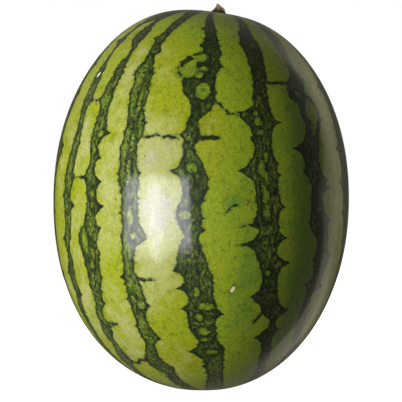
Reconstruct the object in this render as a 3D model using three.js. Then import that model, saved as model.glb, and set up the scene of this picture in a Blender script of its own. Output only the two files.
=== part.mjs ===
// An oval striped watermelon standing on its blossom end, with the short cut stub of its stem on top.
// Millimetres, +Z up. The origin is on the surface that the fruit rests on, below its middle.
// The side that shows in the usual view faces -Y.

import * as THREE from "three";

// The body: an oval a little squarer than an ellipse
const bodyWidth = 232; // across the middle, left to right
const bodyDepth = 229; // across the middle, front to back
const bodyHeight = 299; // from blossom end to crown, before the resting spot is pressed flat
const ovalPower = 2.12; // 2 would be a true ellipse

// What makes the oval uneven, as growth does
const lean = 0.007; // slope of the whole body to the right
const crownTilt = 0.05; // slope of the crown, down to the right
const crownShoulders = 0.14; // both shoulders stand a little high
const crownPower = 12; // keeps both of those near the stem
const heelTilt = 0.03; // slope of the blossom end, up to the left
const heelPower = 8;
const sideSwell = 0.9; // three very low bulges round the middle, the first of them at the right
const sideSwellTurn = 1.54; // radians round from the front

// The flat spot that it rests on, at the blossom end
const restRadius = 20;
const restBlend = 0.4; // how softly the flat runs into the round

// Both poles, where the stripes meet, lie right of the middle
const stemOffset = 14;
const blossomOffset = 12;
const poleBendPower = 3;

// Shallow dish round the stem, and the scar that the flower left
const stemDishDepth = 2;
const stemDishRadius = 26;
const scarDishDepth = 1.3;
const scarDishRadius = 7;
const scarButtonHeight = 0.8;
const scarButtonRadius = 2.8;

// Dark stripes run from stem to blossom end in faint furrows. Degrees round the fruit, from the front to the right
const stripePlaces = [-98, -79, -60, -46, -28, -3, 26, 50, 73, 97, 121, 146, 170, 194, 217, 240];
const furrowDepth = 0.45;

// Stem stub: a five-ridged stalk that flares into a foot, cut off at a slant
const stubTopRadius = 3;
const stubFootRadius = 5.2; // of the stalk where the foot begins to spread
const stubFlare = 3.6; // how far the foot spreads past that
const stubFlareHeight = 2.3;
const stubFlareLean = 0.55; // more foot on the left than on the right
const stubHeight = 6.2; // at the middle of the cut
const stubLean = 0.23; // the stalk leans to the right
const stubCutSlope = 0.64; // the cut falls to the right
const stubCutFront = 0.3; // and a little to the front
const stubRidges = 5;
const stubRidgeHeight = 0.35;
const stubGap = 0.35; // between the stub's foot and the rind

// How finely the surfaces are divided
const bodySides = 72;
const bodyRings = 52;
const ringCrowding = 0.72; // rings stand closer together towards both ends
const stubSides = 30;
const stubRings = 12;
const stubFootRings = 4;

const halfWidth = bodyWidth / 2;
const halfDepth = bodyDepth / 2;
const halfHeight = bodyHeight / 2;
const depthShare = halfWidth / halfDepth;
const restDepth = halfHeight * (1 - (1 - (restRadius / halfWidth) ** ovalPower) ** (1 / ovalPower));
const centreHeight = halfHeight - restDepth;

// How far a direction lies between two stripes: 0 on a stripe, 1 midway
function betweenStripes(degrees) {
  const turn = ((degrees % 360) + 360) % 360;
  const places = stripePlaces.map((p) => (p + 360) % 360).sort((a, b) => a - b);
  const next = places.find((p) => p > turn) ?? places[0] + 360;
  const last = places.filter((p) => p <= turn).pop() ?? places[places.length - 1] - 360;
  return Math.sin((Math.PI * (turn - last)) / (next - last));
}

// Direction from the body's centre for a place given as a turn round it and an angle down from the stem
function directionAt(turn, down) {
  const up = Math.cos(down);
  const offset = up > 0 ? stemOffset : blossomOffset;
  return new THREE.Vector3(
    Math.sin(down) * Math.sin(turn) + (offset / halfHeight) * Math.abs(up) ** poleBendPower,
    -Math.sin(down) * Math.cos(turn),
    up,
  ).normalize();
}

// Round fall-off from 1 at the middle to almost 0 beyond the radius
const dish = (distance, radius) => Math.exp(-((distance / radius) ** 2));

// Presses what lies below the resting plane flat on it, with a soft edge
function pressFlat(z) {
  if (z <= -restBlend) return 0;
  return z < restBlend ? (z + restBlend) ** 2 / (4 * restBlend) : z;
}

// A point of the rind, from the same turn and angle, in the part's frame
function rindPoint(turn, down) {
  const way = directionAt(turn, down);
  const level = Math.hypot(way.x, way.y * depthShare) / halfWidth;
  const upright = Math.abs(way.z) / halfHeight;
  let reach = (level ** ovalPower + upright ** ovalPower) ** (-1 / ovalPower);
  const crown = Math.max(way.z, 0) ** crownPower;
  const heel = Math.max(-way.z, 0) ** heelPower;
  reach *= 1 + crown * (crownShoulders * way.x ** 2 - crownTilt * way.x) + heel * heelTilt * way.x;
  const middle = Math.sin(down) ** 2;
  reach += sideSwell * middle * Math.cos(3 * (turn - sideSwellTurn));
  reach += furrowDepth * middle * (betweenStripes(THREE.MathUtils.radToDeg(turn)) - 1);
  reach -= stemDishDepth * dish(down * halfHeight, stemDishRadius);
  const point = way.multiplyScalar(reach);
  point.x += lean * point.z - sideSwell; // less the bulge, which would put the middle off centre
  point.z = pressFlat(point.z + centreHeight);
  const fromScar = (Math.PI - down) * halfHeight;
  point.z += scarDishDepth * dish(fromScar, scarDishRadius);
  point.z -= scarButtonHeight * dish(fromScar, scarButtonRadius);
  return point;
}

// Closes rings of points, listed from the top down, into one solid with a point at each end
function closeRings(top, rings, bottom) {
  const sides = rings[0].length;
  const points = [top, ...rings.flat(), bottom];
  const last = points.length - 1;
  const faces = [];
  for (let i = 0; i < sides; i++) {
    const j = (i + 1) % sides;
    faces.push(0, 1 + i, 1 + j);
    for (let ring = 1; ring < rings.length; ring++) {
      const upper = 1 + (ring - 1) * sides;
      const lower = upper + sides;
      faces.push(upper + i, lower + i, lower + j, upper + i, lower + j, upper + j);
    }
    const lowest = last - sides;
    faces.push(lowest + i, last, lowest + j);
  }
  const geometry = new THREE.BufferGeometry().setFromPoints(points);
  geometry.setIndex(faces);
  geometry.computeVertexNormals();
  return geometry;
}

function fruit() {
  const ringAt = (share) =>
    Math.PI * (share - (ringCrowding * Math.sin(2 * Math.PI * share)) / (2 * Math.PI));
  const rings = [];
  for (let ring = 1; ring < bodyRings; ring++) {
    const down = ringAt(ring / bodyRings);
    rings.push(
      Array.from({ length: bodySides }, (_, side) => rindPoint((2 * Math.PI * side) / bodySides, down)),
    );
  }
  return closeRings(rindPoint(0, 0), rings, rindPoint(0, Math.PI));
}

// Radius of the stub at a turn round it and a height above its foot
function stubRadius(turn, height) {
  const climb = Math.min(1, height / stubHeight);
  const stalk = THREE.MathUtils.lerp(stubFootRadius, stubTopRadius, Math.sqrt(climb));
  const lean = 1 - stubFlareLean * Math.sin(turn);
  const foot = stubFlare * lean * Math.exp(-height / stubFlareHeight);
  return stalk + foot + stubRidgeHeight * Math.cos(stubRidges * turn);
}

// The stub's foot follows the rind under it, a hair above it
function stemStub() {
  const seat = rindPoint(0, 0);
  const turns = Array.from({ length: stubSides }, (_, side) => (2 * Math.PI * side) / stubSides);
  const onRind = (turn, radius) => rindPoint(turn, radius / halfHeight).z + stubGap;
  const cutHeight = (turn, radius) =>
    stubHeight - radius * (stubCutSlope * Math.sin(turn) + stubCutFront * Math.cos(turn));
  const stubPoint = (turn, share) => {
    let radius = stubRadius(turn, share * stubHeight);
    const height = share * cutHeight(turn, radius);
    radius = stubRadius(turn, height);
    const across = radius * Math.sin(turn) + stubLean * height;
    const along = -radius * Math.cos(turn);
    const base = onRind(turn, radius) * (1 - share) + seat.z * share;
    return new THREE.Vector3(seat.x + across, seat.y + along, base + height);
  };
  const rings = [];
  for (let ring = stubRings; ring >= 0; ring--) {
    rings.push(turns.map((turn) => stubPoint(turn, ring / stubRings)));
  }
  for (let ring = stubFootRings; ring > 0; ring--) {
    rings.push(
      turns.map((turn) => {
        const radius = (stubRadius(turn, 0) * ring) / (stubFootRings + 1);
        const height = onRind(turn, radius);
        return new THREE.Vector3(seat.x + radius * Math.sin(turn), seat.y - radius * Math.cos(turn), height);
      }),
    );
  }
  const cutMiddle = new THREE.Vector3(seat.x + stubLean * stubHeight, seat.y, seat.z + stubHeight);
  const footMiddle = new THREE.Vector3(seat.x, seat.y, seat.z + stubGap);
  return closeRings(cutMiddle, rings, footMiddle);
}

const rind = new THREE.MeshStandardMaterial({ color: 0x9bad35, roughness: 0.3, metalness: 0 });
const driedStalk = new THREE.MeshStandardMaterial({ color: 0x5a4a2c, roughness: 0.85, metalness: 0 });

function named(name, geometry, material) {
  const mesh = new THREE.Mesh(geometry, material);
  mesh.name = name;
  return mesh;
}

const watermelon = new THREE.Group();
watermelon.add(named("fruit", fruit(), rind));
watermelon.add(named("stem_stub", stemStub(), driedStalk));

export default watermelon;
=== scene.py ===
# A whole oval watermelon with ragged dark stripes, standing on its blossom end, with a cut stub of stem.
# Metres, in the part's own frame: +Z up, and the side that the usual view shows faces -Y.
import math

import bpy
import numpy as np
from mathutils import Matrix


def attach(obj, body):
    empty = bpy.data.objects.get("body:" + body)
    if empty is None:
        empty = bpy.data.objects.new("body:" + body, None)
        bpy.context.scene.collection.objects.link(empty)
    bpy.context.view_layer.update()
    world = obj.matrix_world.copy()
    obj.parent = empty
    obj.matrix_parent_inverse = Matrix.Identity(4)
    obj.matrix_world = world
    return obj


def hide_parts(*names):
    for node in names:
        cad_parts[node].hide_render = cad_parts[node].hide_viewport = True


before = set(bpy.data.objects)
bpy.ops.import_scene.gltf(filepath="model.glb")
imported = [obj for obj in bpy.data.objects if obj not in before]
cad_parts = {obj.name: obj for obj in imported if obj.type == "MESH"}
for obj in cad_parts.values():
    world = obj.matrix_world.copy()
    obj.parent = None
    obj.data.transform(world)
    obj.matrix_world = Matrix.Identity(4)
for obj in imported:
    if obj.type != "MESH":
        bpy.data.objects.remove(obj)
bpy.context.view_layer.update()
print("frame:", ", ".join(sorted(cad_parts)))

mm = 0.001


# Node trees, written as expressions

class Wire:
    # One socket of a node tree. Sums, differences and products of wires add their Math nodes.
    def __init__(self, tree, socket=None):
        self.tree = tree
        self.socket = socket

    # Any node, with its settings, the values or links of its sockets, and the output that is wanted
    def node(self, kind, settings, inputs, output=0):
        made = self.tree.nodes.new(kind)
        for name, value in settings.items():
            setattr(made, name, value)
        for key, value in inputs.items():
            if isinstance(value, Wire):
                self.tree.links.new(value.socket, made.inputs[key])
            else:
                made.inputs[key].default_value = value
        return Wire(self.tree, made.outputs[output]) if made.outputs else made

    def maths(self, operation, *others):
        return self.node("ShaderNodeMath", {"operation": operation}, dict(enumerate((self, *others))))

    def vectors(self, operation, *others, output="Vector"):
        inputs = dict(enumerate((self, *others)))
        return self.node("ShaderNodeVectorMath", {"operation": operation}, inputs, output)

    def __add__(self, other):
        return self.maths("ADD", other)

    __radd__ = __add__

    def __sub__(self, other):
        return self.maths("SUBTRACT", other)

    def __rsub__(self, other):
        return self.node("ShaderNodeMath", {"operation": "SUBTRACT"}, {0: other, 1: self})

    def __mul__(self, other):
        return self.maths("MULTIPLY", other)

    __rmul__ = __mul__

    # 0 at the first value and 1 at the second, smooth between them, whichever is larger
    def step(self, zero, one):
        inputs = {"Value": self, "From Min": min(zero, one), "From Max": max(zero, one)}
        inputs["To Min"], inputs["To Max"] = (0.0, 1.0) if zero < one else (1.0, 0.0)
        return self.node("ShaderNodeMapRange", {"interpolation_type": "SMOOTHSTEP"}, inputs)

    def noise(self, scale, detail=2.0, roughness=0.5, output=0):
        inputs = {"Vector": self, "Scale": scale, "Detail": detail, "Roughness": roughness}
        return self.node("ShaderNodeTexNoise", {}, inputs, output)

    # Noise that swings about 0, as far as its reach
    def swing(self, scale, detail, roughness, reach):
        return (self.noise(scale, detail, roughness) - 0.5) * reach

    # Noise that shows from one level on and is full at another
    def pattern(self, scale, detail, roughness, begins, full):
        return self.noise(scale, detail, roughness).step(begins, full)

    # From the least, where this is 0, to the most, where it is 1
    def between(self, least, most):
        return self * (most - least) + least

    # A place bent by noise
    def wandering(self, scale, reach):
        shift = self.noise(scale, output="Color").vectors("SUBTRACT", (0.5, 0.5, 0.5))
        return shift.vectors("MULTIPLY_ADD", (reach, reach, reach), self)

    def stretched(self, across, along):
        # lengths round the fruit and along it, times these
        return self.vectors("MULTIPLY", (across, across, along))

    def part(self, axis):
        return self.node("ShaderNodeSeparateXYZ", {}, {"Vector": self}, axis)

    # Distance to the nearest border in a net of cells
    def cells(self, scale):
        settings = {"feature": "DISTANCE_TO_EDGE"}
        return self.node("ShaderNodeTexVoronoi", settings, {"Vector": self, "Scale": scale})

    # The first colour where this is 0, the second where it is 1. A Mix node takes its factor at socket 0
    # and colours at 6 and 7, and gives the mixed colour at 2.
    def mixed(self, first, second):
        return self.node("ShaderNodeMix", {"data_type": "RGBA"}, {0: self, 6: first, 7: second}, 2)

    def tinted(self, other):
        # this colour times another
        settings = {"data_type": "RGBA", "blend_type": "MULTIPLY"}
        return self.node("ShaderNodeMix", settings, {0: 1.0, 6: self, 7: other}, 2)

    # Distance to the line between two points
    def nearLine(self, first, last):
        path = np.array(last) - np.array(first)
        away = self.vectors("SUBTRACT", tuple(first))
        along = away.vectors("DOT_PRODUCT", tuple(path / (path @ path)), output="Value")
        clamped = self.node("ShaderNodeClamp", {}, {"Value": along})
        inputs = {"Vector": tuple(path), "Scale": clamped}
        foot = self.node("ShaderNodeVectorMath", {"operation": "SCALE"}, inputs)
        return away.vectors("SUBTRACT", foot).vectors("LENGTH", output="Value")

    def attribute(self, name, output="Fac"):
        return self.node("ShaderNodeAttribute", {"attribute_name": name}, {}, output)


def rgb(red, green, blue):
    # a colour as seen on a screen, 0 to 255, as the linear one that shaders take
    def linear(c):
        c = c / 255
        return c / 12.92 if c <= 0.04045 else ((c + 0.055) / 1.055) ** 2.4
    return (linear(red), linear(green), linear(blue), 1.0)


def newMaterial(name):
    material = bpy.data.materials.new(name)
    material.use_nodes = True
    material.node_tree.nodes.clear()
    return material, Wire(material.node_tree)


def newPiece(name, points, faces, corners=(), smooth=True):
    mesh = bpy.data.meshes.new(name)
    mesh.from_pydata(points.tolist(), [], faces)
    mesh.polygons.foreach_set("use_smooth", [smooth] * len(mesh.polygons))
    if corners:
        flat = mesh.uv_layers.new(name="OFBake")
        flat.uv.foreach_set("vector", np.array(corners, np.float32).ravel())
    mesh.update()
    piece = bpy.data.objects.new(name, mesh)
    bpy.context.scene.collection.objects.link(piece)
    return piece


# Faces between rings of points with a fan at each end, and their corners on a flat map at these heights
def ringFaces(heights, sides):
    rings = len(heights) - 2
    faces = []
    corners = []
    for i in range(sides):
        j = (i + 1) % sides
        left, middle, right = i / sides, (i + 0.5) / sides, (i + 1) / sides
        faces.append((0, 1 + i, 1 + j))
        corners += [(middle, heights[0]), (left, heights[1]), (right, heights[1])]
        for ring in range(1, rings):
            upper = 1 + (ring - 1) * sides
            lower = upper + sides
            faces.append((upper + i, lower + i, lower + j, upper + j))
            high, low = heights[ring], heights[ring + 1]
            corners += [(left, high), (left, low), (right, low), (right, high)]
        lowest = 1 + (rings - 1) * sides
        faces.append((lowest + i, lowest + sides, lowest + j))
        corners += [(left, heights[-2]), (middle, heights[-1]), (right, heights[-2])]
    return faces, corners


# The camera stands level with the middle of the fruit

camera = {
    "distance": 1.2,
    "height": 0.1469,
    "aside": -0.0001,
    "lens": 136.35,  # millimetres, as the sensor
    "sensor": 36,
}


def placeCamera():
    data = bpy.data.cameras.new("camera")
    data.lens = camera["lens"]
    data.sensor_width = camera["sensor"]
    eye = bpy.data.objects.new("camera", data)
    eye.location = (camera["aside"], -camera["distance"], camera["height"])
    eye.rotation_euler = (math.pi / 2, 0, 0)
    bpy.context.scene.collection.objects.link(eye)
    bpy.context.scene.camera = eye


placeCamera()

# The body's shape, by the solid's own formula and values

body = {
    "width": 232 * mm,
    "depth": 229 * mm,
    "height": 299 * mm,
    "ovalPower": 2.12,
    "lean": 0.007,
    "crownTilt": 0.05,
    "crownShoulders": 0.14,
    "crownPower": 12,
    "heelTilt": 0.03,
    "heelPower": 8,
    "sideSwells": 3,
    "sideSwell": 0.9 * mm,
    "sideSwellTurn": 1.54,
    "restRadius": 20 * mm,
    "restBlend": 0.4 * mm,
    "stemOffset": 14 * mm,
    "blossomOffset": 12 * mm,
    "poleBendPower": 3,
    "stemDishDepth": 2 * mm,
    "stemDishRadius": 26 * mm,
    "scarDishDepth": 1.3 * mm,
    "scarDishRadius": 7 * mm,
    "scarButtonHeight": 0.8 * mm,
    "scarButtonRadius": 2.8 * mm,
    "furrowDepth": 0.45 * mm,
    "furrows": [-98, -79, -60, -46, -28, -3, 26, 50, 73, 97, 121, 146, 170, 194, 217, 240],
}

halfWidth = body["width"] / 2
halfDepth = body["depth"] / 2
halfHeight = body["height"] / 2
degreeRound = 2.02  # millimetres to a degree of turn, round the middle
restShare = (1 - (body["restRadius"] / halfWidth) ** body["ovalPower"]) ** (1 / body["ovalPower"])
centreHeight = halfHeight * restShare


# 0 on a furrow and 1 midway between two, rounder than in the solid
def betweenFurrows(degrees):
    places = np.sort(np.array(body["furrows"]) % 360)
    places = np.concatenate([[places[-1] - 360], places, [places[0] + 360]])
    turn = degrees % 360
    after = np.searchsorted(places, turn, side="right")
    last = places[after - 1]
    return np.sin(np.pi * (turn - last) / (places[after] - last)) ** 2


def dish(distance, radius):
    return np.exp(-((distance / radius) ** 2))


# Points of the rind, for turns round it from the front to the right and angles down from the stem
def rindPoints(turn, down):
    up = np.cos(down)
    offset = np.where(up > 0, body["stemOffset"], body["blossomOffset"]) / halfHeight
    bend = offset * np.abs(up) ** body["poleBendPower"]
    way = np.stack([np.sin(down) * np.sin(turn) + bend, -np.sin(down) * np.cos(turn), up], -1)
    way /= np.linalg.norm(way, axis=-1, keepdims=True)
    level = np.hypot(way[..., 0], way[..., 1] * halfWidth / halfDepth) / halfWidth
    upright = np.abs(way[..., 2]) / halfHeight
    power = body["ovalPower"]
    reach = (level ** power + upright ** power) ** (-1 / power)
    crown = np.maximum(way[..., 2], 0) ** body["crownPower"]
    heel = np.maximum(-way[..., 2], 0) ** body["heelPower"]
    shoulders = body["crownShoulders"] * way[..., 0] ** 2 - body["crownTilt"] * way[..., 0]
    reach *= 1 + crown * shoulders + heel * body["heelTilt"] * way[..., 0]
    middle = np.sin(down) ** 2
    reach += body["sideSwell"] * middle * np.cos(body["sideSwells"] * (turn - body["sideSwellTurn"]))
    reach += body["furrowDepth"] * middle * (betweenFurrows(np.degrees(turn)) - 1)
    reach -= body["stemDishDepth"] * dish(down * halfHeight, body["stemDishRadius"])
    point = way * reach[..., None]
    point[..., 0] += body["lean"] * point[..., 2] - body["sideSwell"]
    high = point[..., 2] + centreHeight
    blend = body["restBlend"]
    pressed = (np.maximum(high, -blend) + blend) ** 2 / (4 * blend)
    high = np.where(high < blend, pressed, high)
    fromScar = (math.pi - down) * halfHeight
    high += body["scarDishDepth"] * dish(fromScar, body["scarDishRadius"])
    high -= body["scarButtonHeight"] * dish(fromScar, body["scarButtonRadius"])
    point[..., 2] = high
    return point


# The stripes. Edges: degrees down from the stem, then the left and right edge in degrees round the fruit.
# Cusps: degrees down, and how far the stripe juts out there, to the left if less than 0.
# Gaps: light islands by turn, down, half their width and half their height, in degrees.
# Strokes: thin dark lines through turns and downs, and their width in millimetres.
# Open: degrees down, and how much light shows through the stripe's network there.

frontStripe = {
    "edges": [
        (6, -8, -3), (15, -10, -5.5), (20, -9, -3), (24, -7, 0.3), (28, -5, 2), (33, -4.6, 4.1),
        (35, -4.4, 5), (36.3, -2.6, 6.2), (38, -1.6, 6.2), (39.5, -2.4, 4.9), (41, -5.5, 5.2),
        (42.3, -5.6, 5.8), (44, -5.8, 4.9), (45.8, -6.5, 4.4), (46.8, -10.2, 4.3), (48, -10.4, 4.4),
        (50, -9.7, 4.6), (52, -9, 4.9), (54, -7, 5), (55.5, -5.3, 5), (57, -4.8, 4.2), (58.5, -4.5, 3),
        (60, -4.8, 0.8), (61, -5, -0.4), (62.3, -5.3, -1.2), (64.5, -6, -1.2), (66.4, -6.3, -0.6),
        (68, -6.5, 0.2), (71.5, -6.3, -2.5), (73, -6.5, -2.2), (76, -7, 0.5), (80, -8, 2.2),
        (83, -7, 2.9), (87, -6, 2.8), (90, -6.3, 1.2), (93, -8.3, 0), (97, -8.3, 0.5), (99, -7.7, 0),
        (101, -5.7, 0.3), (103.5, -5.2, -0.4), (105.2, -6.6, 0.1), (107, -8.1, 0.6), (110, -8.3, 2),
        (113, -8.6, 2.9), (116.5, -6.5, 4.2), (120, -5.6, 4.8), (125, -5, 4.5), (128, -6, 6),
        (132, -6.8, 5.6), (136, -6.8, 5.2), (139.5, -4.2, 5.6), (141, -2.6, 6.4), (143, -4, 8),
        (146, -5, 9.2), (148, -2.6, 9), (152, -1.8, 9), (158, -3, 10), (163, -7, 12), (172, -14, 14),
    ],
    "cusps": [
        (26.5, -3.5), (34.5, -2), (66.8, -2.5), (79.8, -4), (115, -4), (121.2, -4.5), (128.4, -3.5),
        (144.4, -6), (151.5, -3), (42.5, 2.5), (82, 0.8), (96.8, 1.6), (101, 2), (130.5, 3.5),
        (143.5, 1.5),
    ],
    "gaps": [
        (-8.8, 44.6, 4.2, 2.1), (-3.5, 39.4, 2.9, 1.5), (-1.5, 43.5, 1.8, 0.7), (-3.2, 45.8, 1.6, 1),
        (-0.7, 51.6, 3, 2.6), (0.3, 139.8, 2, 0.5), (-3, 78.5, 1.8, 1.6), (-5.5, 95.5, 2, 1.7),
        (1.5, 127.7, 2.9, 1.1), (-2, 131.5, 1.4, 1), (-0.5, 136.8, 2.6, 1.2), (2.5, 145.2, 2.6, 0.8),
        (-2, 122.5, 1, 1.5),
    ],
    "strokes": [
        ([(-0.5, 37.2), (-5, 37.7), (-8, 38.8), (-10.5, 39.8), (-12.6, 41.4)], 1.6),
        ([(-8.4, 39.9), (-10.4, 40.8), (-12.4, 42.6)], 2.2),
        ([(-13.4, 43.2), (-13, 44.8), (-11.4, 46.4)], 0.5),
        ([(0, 68), (6, 68)], 3.2),
        ([(4.5, 55), (6.5, 56), (8.5, 58), (10, 59.2), (12, 59.6), (16, 59)], 1),
        ([(9.6, 94.6), (11, 93), (13.4, 91.8)], 0.8),
        ([(14.6, 99.8), (16.4, 99.6), (18.4, 98.7)], 0.6),
        ([(-0.8, 51), (-0.6, 51.2)], 0.8),
        ([(-3.4, 79), (-3.2, 79.2)], 0.8),
        ([(-6.6, 96.5), (-6.4, 96.4)], 0.6),
    ],
    "open": [
        (30, 0.0), (60, 0.12), (76, 0.4), (90, 0.15), (108, 0.3), (122, 0.42), (134, 0.35),
        (150, 0.45),
    ],
}

leftInnerStripe = {
    "edges": [
        (6, -39, -18), (13, -38, -19), (17, -34, -20.5), (20, -30.8, -22.3), (25, -31, -24),
        (30, -31.5, -26), (35, -32, -26.7), (40, -31.8, -27), (42.5, -32.5, -26), (45, -34, -24.2),
        (48, -32.5, -24.5), (50, -32, -24), (53, -31.8, -23.3), (58, -31.2, -24), (60, -30.2, -23),
        (63, -29.8, -22.3), (67, -30.2, -22), (69.5, -30.8, -23.6), (72, -31.5, -24),
        (75, -30.7, -23.8), (79, -31, -23.3), (83, -31, -22.5), (85.5, -29.8, -22.6), (90, -29.2, -23),
        (95, -29.4, -22.7), (98, -29.2, -22.3), (101, -29.6, -20.4), (104, -30.2, -19.4),
        (106.5, -29.8, -24), (109, -30.4, -25.4), (113, -30.2, -26), (116, -30, -25.6),
        (121, -30.5, -23.6), (124, -31.3, -23.3), (127, -31, -23.5), (129.5, -31, -24.6),
        (132, -30.5, -25.5), (135, -31.2, -24.8), (137, -31.6, -23.2), (139, -30.8, -22.8),
        (141, -31.3, -26), (143.5, -33.2, -27.2), (146, -36, -27.5), (149, -38, -26),
        (152, -36, -22.8), (154, -34, -24.2), (160, -35.5, -24.5), (172, -40, -20),
    ],
    "cusps": [
        (32.5, -3), (53, -1), (66, -0.8), (94.8, -1), (103, -1), (117.3, -3), (134.3, -1), (37.5, 2.6),
        (80.3, 1.4), (127.4, 2), (139.4, 1.6), (151, 1.8),
    ],
    "gaps": [
        (-26.8, 80, 0.7, 3), (-26, 96, 1, 3), (-24.8, 103, 1.3, 1.2), (-25.8, 127, 1.6, 1.2),
        (-26.6, 54.5, 0.5, 4), (-28.8, 124.5, 0.7, 1), (-26.3, 70, 0.6, 2.4), (-34, 154.5, 2.5, 1.2),
    ],
    "strokes": [
        ([(-23, 67.8), (-20, 67.9), (-17, 67.2), (-14, 68.1), (-12.5, 67.5), (-9, 68.4)], 1.35),
        ([(-26, 117.6), (-22.5, 118.2)], 2.2), ([(-23, 118.2), (-17, 118)], 1.1),
    ],
    "open": [
        (20, 0.0), (40, 0.2), (48, 0.8), (62, 0.95), (84, 0.9), (95, 0.7), (120, 0.75), (140, 0.5),
        (158, 0.3),
    ],
}

leftMiddleStripe = {
    "edges": [
        (6, -60, -41), (13, -58, -40), (17, -56, -40.5), (20, -52, -41.5), (23, -50, -44.5),
        (26, -48.5, -44.6), (30, -50.4, -41), (32.5, -50, -40.8), (34.5, -47.5, -41.5),
        (36.5, -44.3, -41.6), (39, -43.6, -41.6), (41, -46, -41.5), (43, -46.7, -41.2),
        (46, -45.8, -40.6), (48.5, -47, -40.6), (51, -47.3, -40.8), (54, -47.6, -40.8),
        (57, -46.2, -40.6), (60, -45.8, -40.5), (63, -46.4, -39.4), (66.5, -47, -38.8), (69, -47, -41),
        (71, -46.6, -42), (73.5, -45.6, -41.2), (77, -45.5, -42.7), (79.5, -47.2, -42.6),
        (82, -47.6, -41.8), (84, -46.8, -41), (90, -46, -40.7), (94, -46, -40.8), (96.5, -47.6, -41.4),
        (99, -48, -40.8), (101, -50.5, -40), (103, -51.8, -40.6), (105.5, -52, -41.8), (109, -51, -41),
        (112, -50, -41.4), (115, -49.7, -42), (118, -50, -41.8), (120.5, -50.6, -43.2),
        (124, -50.1, -44.6), (127, -50.5, -44.8), (129, -52, -47.6), (131.5, -53.4, -48.5),
        (134, -53.2, -47.5), (136.5, -55.6, -47.6), (139, -55.5, -50.3), (141, -54.6, -50.5),
        (143.5, -56.8, -50.2), (146, -59.8, -50), (148.5, -61.5, -49.5), (151, -61.5, -54),
        (155, -64.5, -57), (160, -66, -58), (172, -68, -55),
    ],
    "cusps": [
        (54.5, -2), (81.7, -1.8), (66.5, 2.2), (75, 3), (83.4, 3.8), (92.4, 4.6), (100, 1.6),
        (109.5, 1.4), (126.8, 0.8),
    ],
    "gaps": [
        (-41.8, 66.5, 1.4, 1), (-43, 87.5, 0.7, 1.4), (-43, 91.5, 0.7, 1.2), (-48.2, 105, 1.3, 4.2),
        (-44.6, 109, 0.6, 2.2), (-45.8, 113.5, 0.8, 1.2),
    ],
    "strokes": [
        ([(-50, 148.3), (-46.5, 149.3), (-42, 147.8), (-38, 147.6), (-34.5, 145.5)], 2),
        ([(-53, 54.5), (-49, 54.6)], 1.2),
        ([(-53, 81.8), (-49, 81.7)], 1),
        ([(-48, 133.6), (-45, 133.9), (-42.6, 133.9)], 1.8),
    ],
    "open": [(28, 0.0), (42, 0.4), (60, 0.6), (85, 0.65), (104, 0.65), (125, 0.5), (150, 0.3)],
}

leftOuterStripe = {
    "edges": [
        (6, -78, -62), (13, -75, -59), (17, -69, -55), (20, -65, -52), (23.5, -62, -50),
        (26, -61, -57), (30, -61, -57.8), (34, -60.5, -57.4), (37, -60, -58), (40, -59.6, -57.2),
        (43.5, -60, -55.2), (47, -60.6, -54), (50, -60, -53.8), (54, -60.4, -53.4), (57, -60, -54.6),
        (60, -58.8, -54.6), (64, -58.3, -53.8), (67, -58.3, -53.8), (70, -59.2, -53.4),
        (73, -60, -54.6), (76, -61.2, -54.8), (79, -61.8, -55.4), (82, -62.3, -54.8),
        (84.5, -62.3, -56), (88, -62.8, -57), (91, -62.4, -56), (94, -62.1, -56.6), (97, -62, -56),
        (101, -62.5, -57.5), (104, -63.6, -58.2), (106.5, -63.2, -60), (110, -62.5, -60),
        (113.5, -64, -59.4), (117, -66, -60.4), (120, -65.2, -60.4), (124, -64.5, -60),
        (126, -65.8, -62), (128, -68.4, -63), (131.5, -68.3, -64), (135, -68.6, -64.4),
        (139, -70, -65), (145, -71, -66), (155, -74, -68), (172, -80, -70),
    ],
    "cusps": [
        (33, -5), (88, -1), (104.6, -2), (116.6, -2.2), (33, 2), (43.5, 1), (54.6, 1.2), (81.8, 2),
        (92.3, 3), (124, 1),
    ],
    "gaps": [(-57.7, 45.5, 1.3, 1)],
    "strokes": [],
    "open": [(28, 0.0), (50, 0.4), (75, 0.55), (100, 0.45), (130, 0.2)],
}

leftRimStripe = {
    "edges": [
        (8, -83, -74), (20, -83, -73), (30, -84, -72.5), (38, -85, -72), (41, -85, -71),
        (44, -85.5, -73), (48, -86, -73), (51, -86, -71.5), (55, -86, -71.5), (60, -86, -72.8),
        (66, -86.5, -74), (69.5, -86.5, -72), (72.5, -87, -70), (75, -87, -72.5), (80, -87, -75),
        (90, -87.5, -76.5), (100, -87, -76), (115, -86, -77), (130, -86, -77), (145, -86, -78),
        (172, -88, -82),
    ],
    "cusps": [
        (41.5, 2.5), (51.5, 2), (69.7, 5), (94, 2), (117, 3), (46, -2), (63, -1), (88, -2), (108, -2),
    ],
    "gaps": [],
    "strokes": [],
    "open": [(30, 0.1), (90, 0.4), (140, 0.2)],
}

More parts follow.
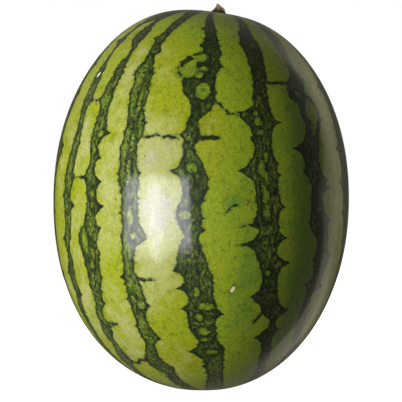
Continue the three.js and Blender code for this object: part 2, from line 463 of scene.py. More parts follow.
rightInnerStripe = {
    "edges": [
        (6, 22, 29), (14, 20.4, 30.2), (20, 21, 29), (23, 19.6, 28), (26, 17.5, 27.6), (29.5, 18, 28),
        (32, 17.2, 29.4), (35, 18.3, 30), (38, 19.7, 29.5), (41, 20.8, 29.4), (45, 21.3, 28.7),
        (48, 21.6, 28), (52, 21, 28), (56, 20.7, 28), (58.5, 18.5, 28.5), (60, 16, 29.5),
        (62, 16.8, 30.5), (64, 18.8, 29), (66, 20, 28), (70, 20.4, 27.3), (74, 20.4, 28.2),
        (76.5, 18.6, 29.6), (79, 17, 29.6), (81.5, 17.5, 29.8), (83.5, 20.4, 29.5), (87, 20.7, 30),
        (91, 20.9, 30.6), (95, 21.3, 30), (98, 21.2, 30), (100.5, 23.3, 30.5), (103, 22.4, 31.4),
        (106, 21, 30.8), (108.5, 22, 29.8), (110.5, 21.7, 30.4), (113, 23, 32.5), (116.5, 24.4, 32.1),
        (120, 25, 32.2), (123, 24, 32.7), (126, 22.8, 33.4), (128.3, 25.2, 35.5), (130.3, 26.4, 38),
        (132.5, 29.5, 36.5), (134, 31.6, 34.6), (136, 32, 34.7), (138, 29, 37.5), (140, 27, 36.5),
        (143, 30.4, 37), (146, 32, 39.5), (149.5, 33.2, 41), (152.5, 35.2, 42), (156, 38, 47),
        (160, 42, 52), (165, 46, 58), (172, 50, 66),
    ],
    "cusps": [
        (27, -1.6), (31.8, -1), (59, -3.5), (68, -1.6), (79.6, -3.6), (99.3, -4.5), (106, -6.5),
        (124.6, -4), (140.6, -2.2), (62, 2.5), (81.2, 1.4), (92.6, 3.6), (104, 3.2), (112.8, 5),
        (130.2, 4), (137.4, 3),
    ],
    "gaps": [
        (22.5, 62, 1.6, 1.4), (23, 65.8, 1.5, 0.9), (25, 74.3, 0.9, 1.2), (23.2, 78.6, 1.4, 2.3),
        (25.2, 82.8, 0.7, 1.8), (24, 85.8, 0.9, 1.4), (24.8, 89, 1.3, 2.4), (25.2, 94.6, 1.3, 2.6),
        (25.3, 105, 1, 1), (28, 104.6, 0.6, 0.9), (27.5, 116.5, 0.7, 0.9), (21.5, 59.3, 1.1, 0.8),
    ],
    "strokes": [
        ([(28.5, 47.6), (33, 47.6), (37, 47.2), (41, 47.5)], 1.8),
        ([(27, 130.5), (25, 132.8), (23.2, 134.4)], 1.6),
        ([(22, 105.6), (18, 106.1), (14.4, 106.4)], 0.7),
    ],
    "open": [(45, 0.0), (58, 0.25), (75, 0.45), (95, 0.46), (106, 0.4), (117, 0.12), (130, 0.0)],
}

rightMiddleStripe = {
    "edges": [
        (6, 47, 56), (16, 43.5, 58.5), (24, 43, 54), (30, 42.4, 52), (32.5, 42, 51.5), (35, 43, 49.5),
        (38.5, 45, 49), (41, 45, 50), (44, 43.5, 51.5), (47, 40, 51.5), (50, 39.4, 50.3),
        (52.5, 39.3, 51), (55, 43.3, 48), (58, 44.3, 47), (60, 44.5, 47.6), (62, 45.8, 50),
        (64.5, 45.6, 52.6), (67, 44.6, 53), (70, 43.2, 52.3), (73, 43.2, 51.5), (77, 43, 50.8),
        (80, 42.3, 52.4), (82.5, 44.8, 54), (85, 46.2, 52.6), (89, 46, 52), (92, 45.7, 53),
        (96, 45.6, 55), (99.5, 45.6, 56.5), (102, 47.5, 57), (104.5, 50.4, 57), (109, 51, 58.5),
        (112, 49.5, 60), (116, 51, 59), (119, 51, 57), (121.5, 49.8, 56), (124, 50, 54.2),
        (129, 50, 53.7), (133, 50.2, 55), (137, 50.6, 56.5), (140, 52.3, 59), (144, 55, 66),
        (148, 59, 70), (153, 60, 70), (160, 66, 76), (172, 80, 92),
    ],
    "cusps": [
        (71.4, -7), (79.5, -0.6), (121, -3), (45, 3.2), (82.4, 2.4), (85.6, 6), (97, 2.5), (110.5, 3),
        (122, 6), (131, 3),
    ],
    "gaps": [(50, 64.5, 1.3, 2), (45.5, 51.3, 1.8, 0.8)],
    "strokes": [([(52, 52), (54.5, 54), (56, 57), (56, 60), (54, 63), (53, 65)], 3)],
    "open": [(50, 0.0), (65, 0.2), (85, 0.15), (110, 0.2), (140, 0.0)],
}

rightRimStripe = {
    "edges": [
        (8, 72, 82), (25, 69, 83), (40, 71, 85), (47, 70, 86), (55, 70.5, 86), (63, 69.5, 86),
        (70, 69, 87), (78, 69.5, 87), (83, 69, 87), (90, 71, 87), (95, 70.5, 86), (100, 73, 86),
        (110, 74, 86), (120, 74.5, 86), (130, 75, 86), (145, 77, 87), (172, 84, 98),
    ],
    "cusps": [(47.5, -6), (71, -4), (83.5, -4), (95, -3), (58, 3), (88, 4), (104, 2), (124, 4)],
    "gaps": [],
    "strokes": [],
    "open": [(30, 0.1), (100, 0.3), (140, 0.1)],
}

seenStripes = [
    frontStripe, leftInnerStripe, leftMiddleStripe, leftOuterStripe, leftRimStripe,
    rightInnerStripe, rightMiddleStripe, rightRimStripe,
]

# The stripes of the far side, grown by the same habits. A pair is the least and the most of a draw. Steps
# go from one place down from the stem to another, with a drawn distance between them.

farStripes = {
    "seed": 31,
    "places": [103, 124, 147, 170, 194, 216, 237, 257],  # degrees round the fruit
    "halfWidth": (5.5, 9.5),  # millimetres, round the middle
    "widthDrift": 0.9,
    "atPoles": 0.25,  # share of the width that is left there
    "leastGirth": 0.12,
    "edgeSteps": (6, 174, 3.15, 5.85),
    "unevenEdge": (0.85, 1.15),
    "wander": 0.7,
    "hold": 0.85,  # share of its wandering that a stripe keeps
    "cuspSteps": (20, 158, 3.5, 9),
    "cuspReach": (0.8, 4.5),
    "gapSteps": (42, 150, 7, 16),
    "gapAside": (-2, 2),
    "gapHalfWidth": (0.6, 1.6),
    "gapHalfHeight": (0.8, 2.6),
    "crossings": 3,  # fewer thin lines than this
    "crossingSpan": (35, 145),
    "crossingReach": 24,
    "crossingWander": 0.5,
    "crossingWidth": (0.9, 1.6),
    "openness": (0.2, 0.7),
}


def steps(draw, first, last, least, most):
    at = first
    while at < last:
        yield at
        at += draw.uniform(least, most)


def grownStripe(place, draw):
    # as wide, as ragged and as full of gaps as those above
    plan = farStripes
    stripe = {"edges": [], "cusps": [], "gaps": [], "strokes": []}
    centre = place
    half = draw.uniform(*plan["halfWidth"])
    for at in steps(draw, *plan["edgeSteps"]):
        girth = max(math.sin(math.radians(at)), plan["leastGirth"])
        centre = place + (centre - place) * plan["hold"] + draw.normal(0, plan["wander"])
        half = np.clip(half + draw.normal(0, plan["widthDrift"]), *plan["halfWidth"])
        reach = half * (plan["atPoles"] + (1 - plan["atPoles"]) * girth) / (degreeRound * girth)
        left = centre - reach * draw.uniform(*plan["unevenEdge"])
        right = centre + reach * draw.uniform(*plan["unevenEdge"])
        stripe["edges"].append((at, left, right))
    least, most = plan["cuspReach"]
    for side in (-1, 1):
        for at in steps(draw, *plan["cuspSteps"]):
            reach = least + (most - least) * draw.uniform() ** 2
            stripe["cusps"].append((at, side * reach))
    for at in steps(draw, *plan["gapSteps"]):
        turn = place + draw.uniform(*plan["gapAside"])
        size = draw.uniform(*plan["gapHalfWidth"]), draw.uniform(*plan["gapHalfHeight"])
        stripe["gaps"].append((turn, at, *size))
    for crossing in range(draw.integers(0, plan["crossings"])):
        at = draw.uniform(*plan["crossingSpan"])
        turns = np.linspace(place, place + plan["crossingReach"], 6)
        path = [(turn, at + draw.normal(0, plan["crossingWander"])) for turn in turns]
        stripe["strokes"].append((path, draw.uniform(*plan["crossingWidth"])))
    higher, lower = draw.uniform(*plan["openness"], 2)
    stripe["open"] = [(30, 0.0), (60, higher), (110, lower), (150, 0.2)]
    return stripe


# The tone of the rind between the stripes, from -1.6 for the palest to 1 for green: by degrees round the
# fruit, and then at places by turn and down, with two radii. Later places lie over earlier ones.

toneRound = [
    (-180, 0.0), (-100, -0.15), (-70, -0.5), (-14, -0.55), (-2, 0.1), (22, 0.35), (34, 0.5),
    (41, 0.95), (50, 0.8), (58, -0.7), (84, -0.6), (100, -0.2), (130, 0.1), (180, 0.0),
]

tones = [
    (-79, 72, 6, 15, 0.1), (-66, 40, 6, 7, -0.2), (-66, 60, 6, 11, -0.65), (-53, 32, 5, 7, -0.3),
    (-52, 70, 5, 11, -0.8), (-55, 112, 5, 13, -0.75), (-66, 105, 6, 20, -0.55), (-58, 128, 5, 9, -0.8),
    # the whitest place, at turn -15 and down 95, lies under the softbox's reflection: pale rind and a
    # painted highlight
    (-52, 89, 4, 6, -0.5), (-36, 25, 6, 6, 0.15), (-36, 47, 6, 15, -0.7), (-15, 95, 9, 14, -1.75),
    (-36, 82, 6, 18, -0.9), (-20, 17, 24, 8, 0.9), (-14, 27, 10, 8, 0.45), (-13, 48, 9, 12, -0.35),
    (-15, 54, 8, 8, -0.3), (-14, 65, 7, 3.5, -0.6), (-16, 73, 9, 8.5, -1.2), (-22, 62, 4, 7, -0.9),
    (-16, 118, 7, 7, -0.9), (-14, 133, 8, 8, -0.2), (-14, 146, 7, 5, -0.5), (-38, 132, 6, 9, -0.8),
    (-38, 112, 6, 9, -0.5), (-44, 144, 6, 6, -0.65), (-22, 127, 5, 6, -0.75), (10, 28, 12, 12, 0.4),
    (8, 68, 8, 8, -0.3), (5, 78, 5, 16, -0.15), (4, 63, 4, 3.5, -0.45), (4.5, 74, 5, 6, -0.5),
    (15, 75, 6, 22, 0.35), (8, 110, 6, 8, 0.0), (12, 90, 4, 4, 0.8), (40, 34, 12, 16, 0.3),
    (18, 119, 6, 6, 1.0), (12, 138, 12, 12, 0.35), (19, 108, 4, 6, 0.7), (18, 130, 8, 6, 0.75),
]

rind = {
    "rings": 319,
    "sides": 308,
    "skinSteps": 2000,  # to measure its length
    "crowding": 0.48,  # columns stand closer on the shown side
    "cuspSharpness": 0.45,  # degrees, of the smallest
    "cuspSpread": 0.12,  # and more, for each degree that it juts out
    "fineCusps": (15, 168, 1.5, 3.6),  # steps of the small ones
    "fineReach": 1.1,
    "deepest": 12,  # millimetres, as the three below
    "openDepth": 2,  # where a stripe is as open as it gets
    "strokeLift": 0.45,
    "strokeReach": 3,
    "openShares": (-0.25, 0.3),  # on the tips and at the edge
    "gapSlope": 0.8,
    "gapGlow": 1.5,  # reach of the green round a gap, in its sizes
    "seed": 7,
}


def wrapped(degrees):
    return (degrees + 180) % 360 - 180


def jutting(downs, cusps):
    # how far cusps carry an edge out, at each angle down
    out = np.zeros_like(downs)
    for at, reach in cusps:
        sharpness = rind["cuspSharpness"] + rind["cuspSpread"] * abs(reach)
        out += abs(reach) * np.exp(-np.abs(downs - at) / sharpness)
    return out


def fineCusps(draw):
    places = steps(draw, *rind["fineCusps"])
    return [(at, rind["fineReach"] * draw.uniform() ** 1.5) for at in places]


# Distance in millimetres from every point of the grid to a path on the rind
def strokeDistance(path, turns, downs, perTurn, perDown):
    nearest = np.full((len(downs), len(turns)), 1e3)
    for (turnA, downA), (turnB, downB) in zip(path[:-1], path[1:]):
        x = wrapped(turns[None, :] - turnA) * perTurn[:, None]
        y = (downs[:, None] - downA) * perDown
        stepX = (turnB - turnA) * perTurn[:, None]
        stepY = (downB - downA) * perDown
        along = np.clip((x * stepX + y * stepY) / (stepX ** 2 + stepY ** 2 + 1e-9), 0, 1)
        nearest = np.minimum(nearest, np.hypot(x - along * stepX, y - along * stepY))
    return nearest


# How far inside a band each point of the grid lies, in millimetres
def bandDepth(left, right, turns, perTurn):
    aside = wrapped(turns[None, :] - ((left + right) / 2)[:, None])
    return (((right - left) / 2)[:, None] - np.abs(aside)) * perTurn[:, None]


# How far inside a dark stripe each point of the grid lies, in millimetres, how open the stripe is there,
# and how near it is to a gap
def paintStripes(turns, downs, perTurn, perDown):
    draw = np.random.default_rng(farStripes["seed"])
    stripes = seenStripes + [grownStripe(place, draw) for place in farStripes["places"]]
    draw = np.random.default_rng(rind["seed"])
    outside = -30.0
    depth = np.full((len(downs), len(turns)), outside)
    openness = np.zeros_like(depth)
    gapGreen = np.zeros_like(depth)
    onTips, atEdge = rind["openShares"]
    for stripe in stripes:
        at, left, right = np.array(stripe["edges"], float).T
        left = np.interp(downs, at, left)
        right = np.interp(downs, at, right)
        core = bandDepth(left, right, turns, perTurn)
        cusps = stripe["cusps"]
        left -= jutting(downs, [c for c in cusps if c[1] < 0]) + jutting(downs, fineCusps(draw))
        right += jutting(downs, [c for c in cusps if c[1] > 0]) + jutting(downs, fineCusps(draw))
        inside = bandDepth(left, right, turns, perTurn)
        # the tips that jut out stay dark
        opening = np.interp(downs, *np.array(stripe["open"], float).T)[:, None]
        opening = opening * np.clip(core / rind["openDepth"] + atEdge, onTips, 1)
        openness = np.where(inside > depth, opening, openness)
        depth = np.maximum(depth, inside)
    for stripe in stripes:
        for turn, down, across, along in stripe["gaps"]:
            away = np.hypot(wrapped(turns[None, :] - turn) / across, (downs[:, None] - down) / along)
            slope = min(across * degreeRound, along * perDown) * rind["gapSlope"]
            depth = np.minimum(depth, (away - 1) * slope)
            gapGreen = np.maximum(gapGreen, np.exp(-((away / rind["gapGlow"]) ** 4)))
        for path, width in stripe["strokes"]:
            line = width / 2 - strokeDistance(path, turns, downs, perTurn, perDown)
            line = np.where(line > -rind["strokeReach"], line + rind["strokeLift"], outside)
            depth = np.maximum(depth, line)
    return np.clip(depth, -rind["deepest"], rind["deepest"]), openness, gapGreen


def paintTones(turns, downs):
    tone = np.interp(turns, *np.array(toneRound, float).T) + 0 * downs[:, None]
    for turn, down, wide, high, wanted in tones:
        away = np.hypot(wrapped(turns[None, :] - turn) / wide, (downs[:, None] - down) / high)
        tone += np.exp(-(away ** 2)) * (wanted - tone)
    return tone


def setAttribute(piece, name, values):
    kind, field = ("FLOAT_VECTOR", "vector") if values.ndim == 2 else ("FLOAT", "value")
    layer = piece.data.attributes.new(name, kind, "POINT")
    layer.data.foreach_set(field, values.astype(np.float32).ravel())


def makeFruit():
    rings, sides = rind["rings"], rind["sides"]
    even = np.linspace(-math.pi, math.pi, sides, endpoint=False)
    turns = even - rind["crowding"] * np.sin(even)
    # rings stand evenly along the skin, measured down the front
    fine = np.linspace(0, math.pi, rind["skinSteps"])
    track = rindPoints(np.zeros_like(fine), fine)
    along = np.concatenate([[0], np.cumsum(np.linalg.norm(np.diff(track, axis=0), axis=1))])
    downs = np.interp(np.linspace(0, along[-1], rings + 2)[1:-1], along, fine)
    arc = np.interp(downs, fine, along) / mm
    grid = rindPoints(np.broadcast_to(turns, (rings, sides)), np.repeat(downs[:, None], sides, 1))
    girth = np.linalg.norm(grid - np.roll(grid, 1, axis=1), axis=2).sum(axis=1) / mm
    ends = rindPoints(np.zeros(2), np.array([0, math.pi]))
    points = np.concatenate([ends[:1], grid.reshape(-1, 3), ends[1:]])
    fruit = newPiece("rind", points, *ringFaces(np.linspace(1, 0, rings + 2), sides))

    turnDegrees = np.degrees(turns)
    downDegrees = np.degrees(downs)
    perDown = along[-1] / mm / 180
    depth, openness, gapGreen = paintStripes(turnDegrees, downDegrees, girth / 360, perDown)
    tone = paintTones(turnDegrees, downDegrees)
    radius = (girth / (2 * math.pi))[:, None]
    lengths = np.repeat(arc[:, None], sides, 1)
    skin = np.stack([radius * np.sin(turns), -radius * np.cos(turns), lengths], -1)

    def whole(values, first=0.0, last=0.0):
        return np.concatenate([[first], values.reshape(-1, *values.shape[2:]), [last]])

    setAttribute(fruit, "stripeDepth", whole(depth, depth[0].mean(), depth[-1].mean()))
    setAttribute(fruit, "stripeOpen", whole(openness))
    setAttribute(fruit, "gapGreen", whole(gapGreen))
    setAttribute(fruit, "tone", whole(tone))
    setAttribute(fruit, "skin", whole(skin, (0, 0, 0), (0, 0, along[-1] / mm)))

    def skinPlace(at):
        turn, down = math.radians(at[0]), at[1]
        level = np.interp(down, downDegrees, radius[:, 0])
        return (level * math.sin(turn), -level * math.cos(turn), np.interp(down, downDegrees, arc))

    return fruit, along[-1] / mm, skinPlace


# Colours of the rind as they look in even light, save the whitest, which is partly a painted highlight

rindLook = {
    # the whitest ground: pale rind, made whiter and bluer as a painted highlight where the softbox
    # reflects
    "palestAndHighlight": rgb(152, 151, 130),
    "pale": rgb(146, 148, 86),
    "yellow": rgb(129, 135, 22),
    "olive": rgb(123, 139, 27),
    "green": rgb(95, 122, 38),
    "speckle": rgb(66, 90, 20),
    "dark": rgb(19, 28, 14),
    "grey": rgb(83, 97, 38),
    "darkGreen": rgb(58, 84, 18),
    "fleck": rgb(110, 128, 42),
    "fringe": rgb(70, 98, 28),
    "scar": rgb(112, 88, 52),
    "grain": ((0.84, 0.86, 0.82, 1), (1.1, 1.09, 1.12, 1)),
    "roughness": (0.42, 0.58),  # least and most
    "specular": 0.12,  # of the rind under its wax
    "wax": (0.3, 0.54),
    "waxRoughness": 0.085,
    "waxGloss": 1.8,
    "bump": {"Strength": 0.35, "Distance": 0.12 * mm},
    "borderLight": (0.3, 1.0),
    "patchLight": (0.62, 1.37),
    "openLight": (0.32, 1.52),
    "speckStrength": (0.16, 0.42),
    "blotchStrength": (0.12, 0.54),
    "gapStrength": (0.25, 0.8),
}

# The tones at which each colour of the ground begins and is full
toneSteps = [("pale", -1.6, -1.1), ("yellow", -1.0, -0.4), ("olive", -0.4, 0.2), ("green", 0.2, 1.0)]

# Small marks, and a painted shadow beside the chip: first and last place in turn and down, width in
# millimetres, colour and strength
marksAndChipShadow = [
    # a painted shadow: a dark brown band along the chip's upper left, lying under the pale chip
    ((11.5, 122.7), (13.1, 120.4), 3, rgb(88, 78, 34), 0.75),
    ((12.2, 122.3), (12.9, 121.4), 2.3, rgb(190, 192, 140), 1),
    ((16.1, 139.1), (22.2, 134), 0.9, rgb(140, 120, 54), 0.8),
    ((33, 109), (38.2, 102.6), 0.8, rgb(104, 70, 44), 0.6),
    ((32.2, 107.6), (36.6, 102.6), 0.5, rgb(104, 70, 44), 0.5),
    ((17.4, 91.8), (18.4, 90), 1.1, rgb(88, 60, 30), 0.8),
    ((-58, 45.9), (-57.7, 45.1), 2.3, rgb(186, 188, 140), 1),
    ((-20.7, 74.5), (-20.5, 74.6), 1, rgb(70, 60, 26), 0.8),
    ((-17.5, 111.9), (-17.3, 111.9), 1, rgb(70, 60, 26), 0.8),
    ((-31.8, 89.8), (-31.4, 90), 1.2, rgb(96, 88, 30), 0.7),
]


# A mottle drawn out along the fruit, and light flecks where the stripe is open
def stripeColour(start, skin, ragged):
    look = rindLook
    openness = start.attribute("stripeOpen")
    drawn = skin.stretched(1.0, 0.5).wandering(0.3, 2.2)
    lighter = skin.pattern(0.16, 2.0, 0.5, 0.45, 0.67).mixed(look["grey"], look["darkGreen"])
    amid = ragged.step(0.2, 3.4).between(*look["borderLight"])
    amid *= skin.pattern(0.13, 2.0, 0.5, 0.3, 0.68).between(*look["patchLight"])
    light = drawn.pattern(0.5, 4.0, 0.62, 0.37, 0.7) * amid * openness.between(*look["openLight"])
    patchy = skin.swing(0.1, 2.0, 0.5, 0.5) + openness * 0.17
    flecks = (drawn.noise(0.62, 3.0, 0.62) + patchy).step(0.57, 0.75) * ragged.step(1.4, 3.6)
    return (flecks * 0.6).mixed(light.mixed(look["dark"], lighter), look["fleck"])


# The ground by its tone, with more specks and blotches where it isn't pale
def groundColour(start, skin, ragged, gapGreen):
    look = rindLook
    cloud = skin.swing(0.06, 5.0, 0.68, 1.8) + start.attribute("tone")
    colour = look["palestAndHighlight"]
    for name, begins, full in toneSteps:
        colour = cloud.step(begins, full).mixed(colour, look[name])
    specks = skin.pattern(0.5, 4.0, 0.8, 0.47, 0.62)
    specks *= cloud.step(-1.1, -0.3).between(*look["speckStrength"])
    blotches = skin.wandering(0.2, 2.0).stretched(1.0, 0.7).pattern(0.27, 2.0, 0.6, 0.53, 0.7)
    blotches *= cloud.step(-1.1, -0.2).between(*look["blotchStrength"])
    veins = skin.wandering(0.25, 3.0).cells(0.2).step(0.06, 0.0)
    veins *= skin.pattern(0.1, 2.0, 0.5, 0.4, 0.65)
    for layer in (specks, blotches, veins * 0.3):
        colour = layer.mixed(colour, look["speckle"])
    # green along the stripes' edges and round their gaps
    fringe = ragged.step(-2.6, -0.2) * skin.pattern(0.3, 3.0, 0.5, 0.42, 0.66)
    inGap = gapGreen * skin.pattern(0.5, 3.0, 0.7, 0.36, 0.62).between(*look["gapStrength"])
    for layer in (fringe * 0.6, inGap):
        colour = layer.mixed(colour, look["fringe"])
    return colour.tinted(skin.pattern(0.8, 3.0, 0.7, 0.3, 0.7).mixed(*look["grain"]))


def makeRindMaterial(skinLength, skinPlace):
    look = rindLook
    material, start = newMaterial("waxy rind")
    skin = start.attribute("skin", "Vector")
    gapGreen = start.attribute("gapGreen")

    # stripe edges: thin spikes that point sideways, and rounder wandering
    spikes = skin.stretched(0.35, 1.0).swing(0.6, 3.0, 0.6, 2.4)
    speckled = gapGreen * skin.swing(0.8, 3.0, 0.7, 6.0)
    ragged = start.attribute("stripeDepth") + spikes + skin.swing(0.3, 4.0, 0.65, 3.4) + speckled
    ground = groundColour(start, skin, ragged, gapGreen)
    colour = ragged.step(-0.75, 0.75).mixed(ground, stripeColour(start, skin, ragged))

    # small marks, and the chip's painted shadow, over the rind's colour
    for first, last, width, paint, strength in marksAndChipShadow:
        near = skin.nearLine(skinPlace(first), skinPlace(last))
        colour = (near.step(width / 2 + 0.35, width / 2 - 0.15) * strength).mixed(colour, paint)

    # corky rings round the stem and on the blossom scar
    height = skin.part("Z")
    cork = height.step(11.5, 9.0) + height.step(skinLength - 5.5, skinLength - 3.5)
    colour = (cork * 0.85).mixed(colour, look["scar"])

    relief = skin.noise(0.5, 4.0, 0.6) * 0.6 + skin.stretched(1.0, 0.15).noise(1.4) * 0.4
    # wax, thinner in streaks along the fruit
    wax = skin.stretched(1.0, 0.14).pattern(0.8, 3.0, 0.65, 0.32, 0.68).between(*look["wax"])
    shader = start.node("ShaderNodeBsdfPrincipled", {}, {
        "Base Color": colour,
        "Roughness": skin.pattern(0.3, 3.0, 0.5, 0.2, 0.8).between(*look["roughness"]),
        "Specular IOR Level": look["specular"],
        "Coat Weight": wax,
        "Coat Roughness": look["waxRoughness"],
        "Coat IOR": look["waxGloss"],
        "Normal": start.node("ShaderNodeBump", {}, {**look["bump"], "Height": relief}),
    })
    start.node("ShaderNodeOutputMaterial", {}, {"Surface": shader})
    return material


fruit, skinLength, skinPlace = makeFruit()
fruit.data.materials.append(makeRindMaterial(skinLength, skinPlace))
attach(fruit, "root")
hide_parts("fruit")
print("rind:", len(fruit.data.polygons), "faces, skin", round(skinLength), "mm from stem to scar")

# The stem stub, by the solid's own formula, with fibres and a rough cut face

stub = {
    "topRadius": 3 * mm,
    "footRadius": 5.2 * mm,
    "flare": 3.6 * mm,
    "flareHeight": 2.3 * mm,
    "flareLean": 0.55,
    "height": 6.2 * mm,
    "lean": 0.23,
    "cutSlope": 0.64,
    "cutFront": 0.3,
    "ridges": 5,
    "ridgeHeight": 0.35 * mm,
    "sunk": 0.5 * mm,  # below the rind
    "fibres": [(31, 2.2), (19, -3)],  # how many, and their twist
    "fibreHeight": 0.09 * mm,
    "fibreFade": 0.7,  # share that is lost at the top
    "cutRoughness": 0.18 * mm,
    "pithDip": 0.288 * mm,
    "pithRadius": 0.35,  # of the cut's
    "tear": 0.42,  # how much lower the bark ends on the right
    "sides": 124,
    "rings": 44,
    "cutRings": 14,
    "seed": 12,
}


def stubRadius(turn, height):
    climb = np.clip(height / stub["height"], 0, 1)
    stalk = stub["footRadius"] + (stub["topRadius"] - stub["footRadius"]) * np.sqrt(climb)
    lean = 1 - stub["flareLean"] * np.sin(turn)
    foot = stub["flare"] * lean * np.exp(-height / stub["flareHeight"])
    return stalk + foot + stub["ridgeHeight"] * np.cos(stub["ridges"] * turn)


def makeStub():
    draw = np.random.default_rng(stub["seed"])
    sides, rings, cutRings = stub["sides"], stub["rings"], stub["cutRings"]
    seat = rindPoints(np.zeros(1), np.zeros(1))[0]
    turn = np.linspace(0, 2 * math.pi, sides, endpoint=False)
    share = np.linspace(1, 0, rings)[:, None]
    radius = stubRadius(turn, share * stub["height"])
    fall = stub["cutSlope"] * np.sin(turn) + stub["cutFront"] * np.cos(turn)
    height = share * (stub["height"] - radius * fall)
    radius = stubRadius(turn, height)
    phases = draw.uniform(0, 2 * math.pi, 3)
    for (count, twist), phase in zip(stub["fibres"], phases):
        fibres = np.cos(count * turn + phase + twist * share)
        radius += stub["fibreHeight"] * fibres * (1 - stub["fibreFade"] * share)
    foot = rindPoints(np.broadcast_to(turn, radius.shape), radius / halfHeight)[..., 2] - stub["sunk"]
    base = foot * (1 - share) + seat[2] * share
    across = radius * np.sin(turn) + stub["lean"] * height
    side = np.stack([seat[0] + across, seat[1] - radius * np.cos(turn), base + height], -1)
    # the cut face, from its middle out, with a dip for the pith
    out = np.linspace(0, 1, cutRings + 1)[1:-1, None]
    rim = side[0]
    middle = seat + [stub["lean"] * stub["height"], 0, stub["height"]]
    cut = middle + (rim - middle) * out[..., None]
    grain = draw.normal(0, 1, (cutRings - 1, sides))
    grain = (grain + np.roll(grain, 1, axis=1) + np.roll(grain, -1, axis=1)) / 3
    cut[..., 2] += stub["cutRoughness"] * grain * out - stub["pithDip"] * dish(out, stub["pithRadius"])
    rows = np.concatenate([cut, side])
    middle[2] -= stub["pithDip"]
    below = seat - [0, 0, stub["sunk"]]
    points = np.concatenate([[middle], rows.reshape(-1, 3), [below]])
    piece = newPiece("stalk", points, *ringFaces(np.linspace(1, 0, len(rows) + 2), sides))

    # values for the middle, the cut, the side and the point below
    def whole(centre, onCut, onSide, lowest):
        onCut = np.broadcast_to(onCut, (cutRings - 1, sides)).ravel()
        onSide = np.broadcast_to(onSide, (rings, sides)).ravel()
        return np.concatenate([[centre], onCut, onSide, [lowest]])

    setAttribute(piece, "onCut", whole(1, 1, 0, 0))
    setAttribute(piece, "fromPith", whole(0, out, 1, 1))
    setAttribute(piece, "climb", whole(0, 0, share, 0))
    setAttribute(piece, "torn", whole(0, 0, share + stub["tear"] * np.sin(turn), 0))
    return piece


stalkLook = {
    "bark": rgb(80, 64, 38),
    "barkDark": rgb(38, 27, 17),
    "foot": rgb(134, 122, 74),
    "barkTop": rgb(128, 118, 70),
    # cut and pith: the cut face's own pale colours, made paler still as painted light falling from above
    "cut": rgb(226, 223, 180),
    "pith": rgb(190, 180, 134),
    "cutRim": rgb(150, 134, 84),
    "roughness": 0.72,
    "bump": {"Strength": 0.6, "Distance": 0.3 * mm},
    "fineness": (1000.0, 260.0),  # round the stalk and along it
    "ragged": 0.3,
}


def makeStalkMaterial():
    look = stalkLook
    material, start = newMaterial("dried stalk")
    fine = start.node("ShaderNodeTexCoord", {}, {}, "Object").stretched(*look["fineness"])
    fibre = fine.noise(1.6, 4.0, 0.65)
    bark = fibre.step(0.35, 0.65).mixed(look["barkDark"], look["bark"])
    climb = start.attribute("climb")
    bark = (climb.step(0.3, 0.02) * 0.6).mixed(bark, look["foot"])
    bark = (climb.step(0.4, 0.8) * 0.75).mixed(bark, look["barkTop"])
    torn = start.attribute("torn") + (fibre - 0.5) * look["ragged"]
    bark = (torn.step(0.92, 1.12) * 0.9).mixed(bark, look["cut"])
    fromPith = start.attribute("fromPith") + (fine.noise(0.9) - 0.5) * look["ragged"]
    # the cut face: its pale colours are partly painted light from above
    cut = fromPith.step(0.1, 0.4).mixed(look["pith"], look["cut"])
    cut = fromPith.step(0.84, 1.0).mixed(cut, look["cutRim"])
    colour = start.attribute("onCut").mixed(bark, cut)
    shader = start.node("ShaderNodeBsdfPrincipled", {}, {
        "Base Color": colour,
        "Roughness": look["roughness"],
        "Normal": start.node("ShaderNodeBump", {}, {**look["bump"], "Height": fibre}),
    })
    start.node("ShaderNodeOutputMaterial", {}, {"Surface": shader})
    return material


stalk = makeStub()
stalk.data.materials.append(makeStalkMaterial())
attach(stalk, "root")
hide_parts("stem_stub")
print("stalk:", len(stalk.data.polygons), "faces")

# The studio: a pale floor, one softbox beside the camera, and pale walls to both sides. Turns are in
# degrees round from the camera to the right, lifts in degrees above the middle of the fruit.

studio = {
    "floorSize": 60,
    "floorGlow": 0.97,
    "floorGrey": (0.5, 0.5, 0.5, 1),
    "softbox": {"turn": -28.9, "lift": -8, "distance": 0.8, "width": 0.735, "height": 0.54,
                "radiance": 10.4},
    "softboxColour": (1.0, 0.98, 1.05, 1.0),
    "window": {"turn": -43.2, "lift": 1, "distance": 1.6, "width": 0.7, "height": 0.9, "radiance": 26.5},
    "backFill": {"turn": -165, "lift": 20, "distance": 1.6, "width": 1.2, "height": 1.2, "radiance": 6},
    "sideFill": {"turn": 132, "lift": 10, "distance": 1.6, "width": 0.8, "height": 1.2, "radiance": 3.5},
    "middle": 0.147,
    "room": 0.06,
    "rightWall": 0.76,
    "leftWall": 0.04,
    "backWall": 0.14,  # above and below the middle
    "wallColour": (1.0, 0.94, 0.76, 1.0),
}


def makeFloor():
    half = studio["floorSize"] / 2
    corners = np.array([(-half, -half, 0), (half, -half, 0), (half, half, 0), (-half, half, 0)])
    floor = newPiece("floor", corners, [(0, 1, 2, 3)], smooth=False)
    material, start = newMaterial("pale floor")
    glow = start.node("ShaderNodeEmission", {}, {"Color": (1, 1, 1, 1), "Strength": studio["floorGlow"]})
    paper = start.node("ShaderNodeBsdfDiffuse", {}, {"Color": studio["floorGrey"]})
    both = start.node("ShaderNodeAddShader", {}, {0: glow, 1: paper})
    start.node("ShaderNodeOutputMaterial", {}, {"Surface": both})
    floor.data.materials.append(material)
    floor.visible_diffuse = False
    floor.visible_glossy = False
    floor.visible_shadow = False


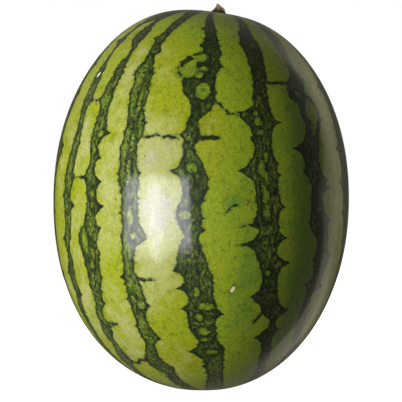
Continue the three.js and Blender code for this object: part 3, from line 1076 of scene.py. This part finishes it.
# A rectangle of light that faces the fruit; fading gives its strength over it, from 0 to 1
def makeLight(name, glossy=True, diffuse=True, fading=None):
    plan = studio[name]
    data = bpy.data.lights.new(name, "AREA")
    data.shape = "RECTANGLE"
    data.size = plan["width"]
    data.size_y = plan["height"]
    data.energy = plan["radiance"] * math.pi * plan["width"] * plan["height"]
    turn = math.radians(plan["turn"])
    lift = math.radians(plan["lift"])
    reach = plan["distance"]
    light = bpy.data.objects.new(name, data)
    level = reach * math.cos(lift)
    high = studio["middle"] + reach * math.sin(lift)
    light.location = (math.sin(turn) * level, -math.cos(turn) * level, high)
    light.rotation_euler = (math.pi / 2 - lift, 0, turn)
    light.visible_camera = False
    light.visible_glossy = glossy
    light.visible_diffuse = diffuse
    if fading:
        data.use_nodes = True
        data.node_tree.nodes.clear()
        start = Wire(data.node_tree)
        place = start.node("ShaderNodeNewGeometry", {}, {}, "Parametric")
        glow = start.node("ShaderNodeEmission", {}, {"Color": fading(place)})
        start.node("ShaderNodeOutputLight", {}, {"Surface": glow})
    bpy.context.scene.collection.objects.link(light)


# The softbox is brightest a little left of its middle, and fades up and down
def softboxFading(place):
    across = place.part("X")
    up = place.part("Y")
    core = across.step(0.26, 0.45) * across.step(0.7, 0.5)
    level = core * 0.34 + across * 0.07 + 0.57
    strength = level * (up + core * 0.08).step(0.04, 0.3) * up.step(1.0, 0.88)
    return strength.mixed((0, 0, 0, 1), studio["softboxColour"])


def makeWorld():
    world = bpy.data.worlds.new("studio")
    world.use_nodes = True
    world.node_tree.nodes.clear()
    bpy.context.scene.world = world
    start = Wire(world.node_tree)
    way = start.node("ShaderNodeTexCoord", {}, {}, "Generated")
    y = way.part("Y")
    z = way.part("Z")
    turn = way.part("X").maths("ARCTAN2", y * -1.0) * (180 / math.pi)
    level = z.step(0.85, 0.5) * z.step(-0.85, -0.5)
    low = z.step(-0.12, -0.4)
    high = z.step(0.12, 0.4)
    farther = turn - z.maths("ABSOLUTE") * 40
    ending = (turn - low * 15 - high * 10).step(152, 120) * 0.95 + 0.05
    right = farther.step(98, 106) * ending * level * (low * 0.65 + 1)
    left = turn.step(-80, -110) * turn.step(-172, -150) * level
    back = y.step(0.0, 0.5) * (z.step(0.15, 0.45) * 1.5 + z.step(-0.2, -0.5))
    light = right * studio["rightWall"] + left * studio["leftWall"] + back * studio["backWall"]
    walls = (light + studio["room"]).mixed((0, 0, 0, 1), studio["wallColour"])
    seen = start.node("ShaderNodeLightPath", {}, {}, "Is Camera Ray")
    glow = start.node("ShaderNodeBackground", {}, {"Color": seen.mixed(walls, (1, 1, 1, 1))})
    start.node("ShaderNodeOutputWorld", {}, {"Surface": glow})


makeFloor()
makeLight("softbox", diffuse=False, fading=softboxFading)
makeLight("window", glossy=False)
makeLight("backFill", glossy=False)
makeLight("sideFill", glossy=False)
makeWorld()
bpy.context.scene.view_settings.view_transform = "Standard"
print("studio: ready")
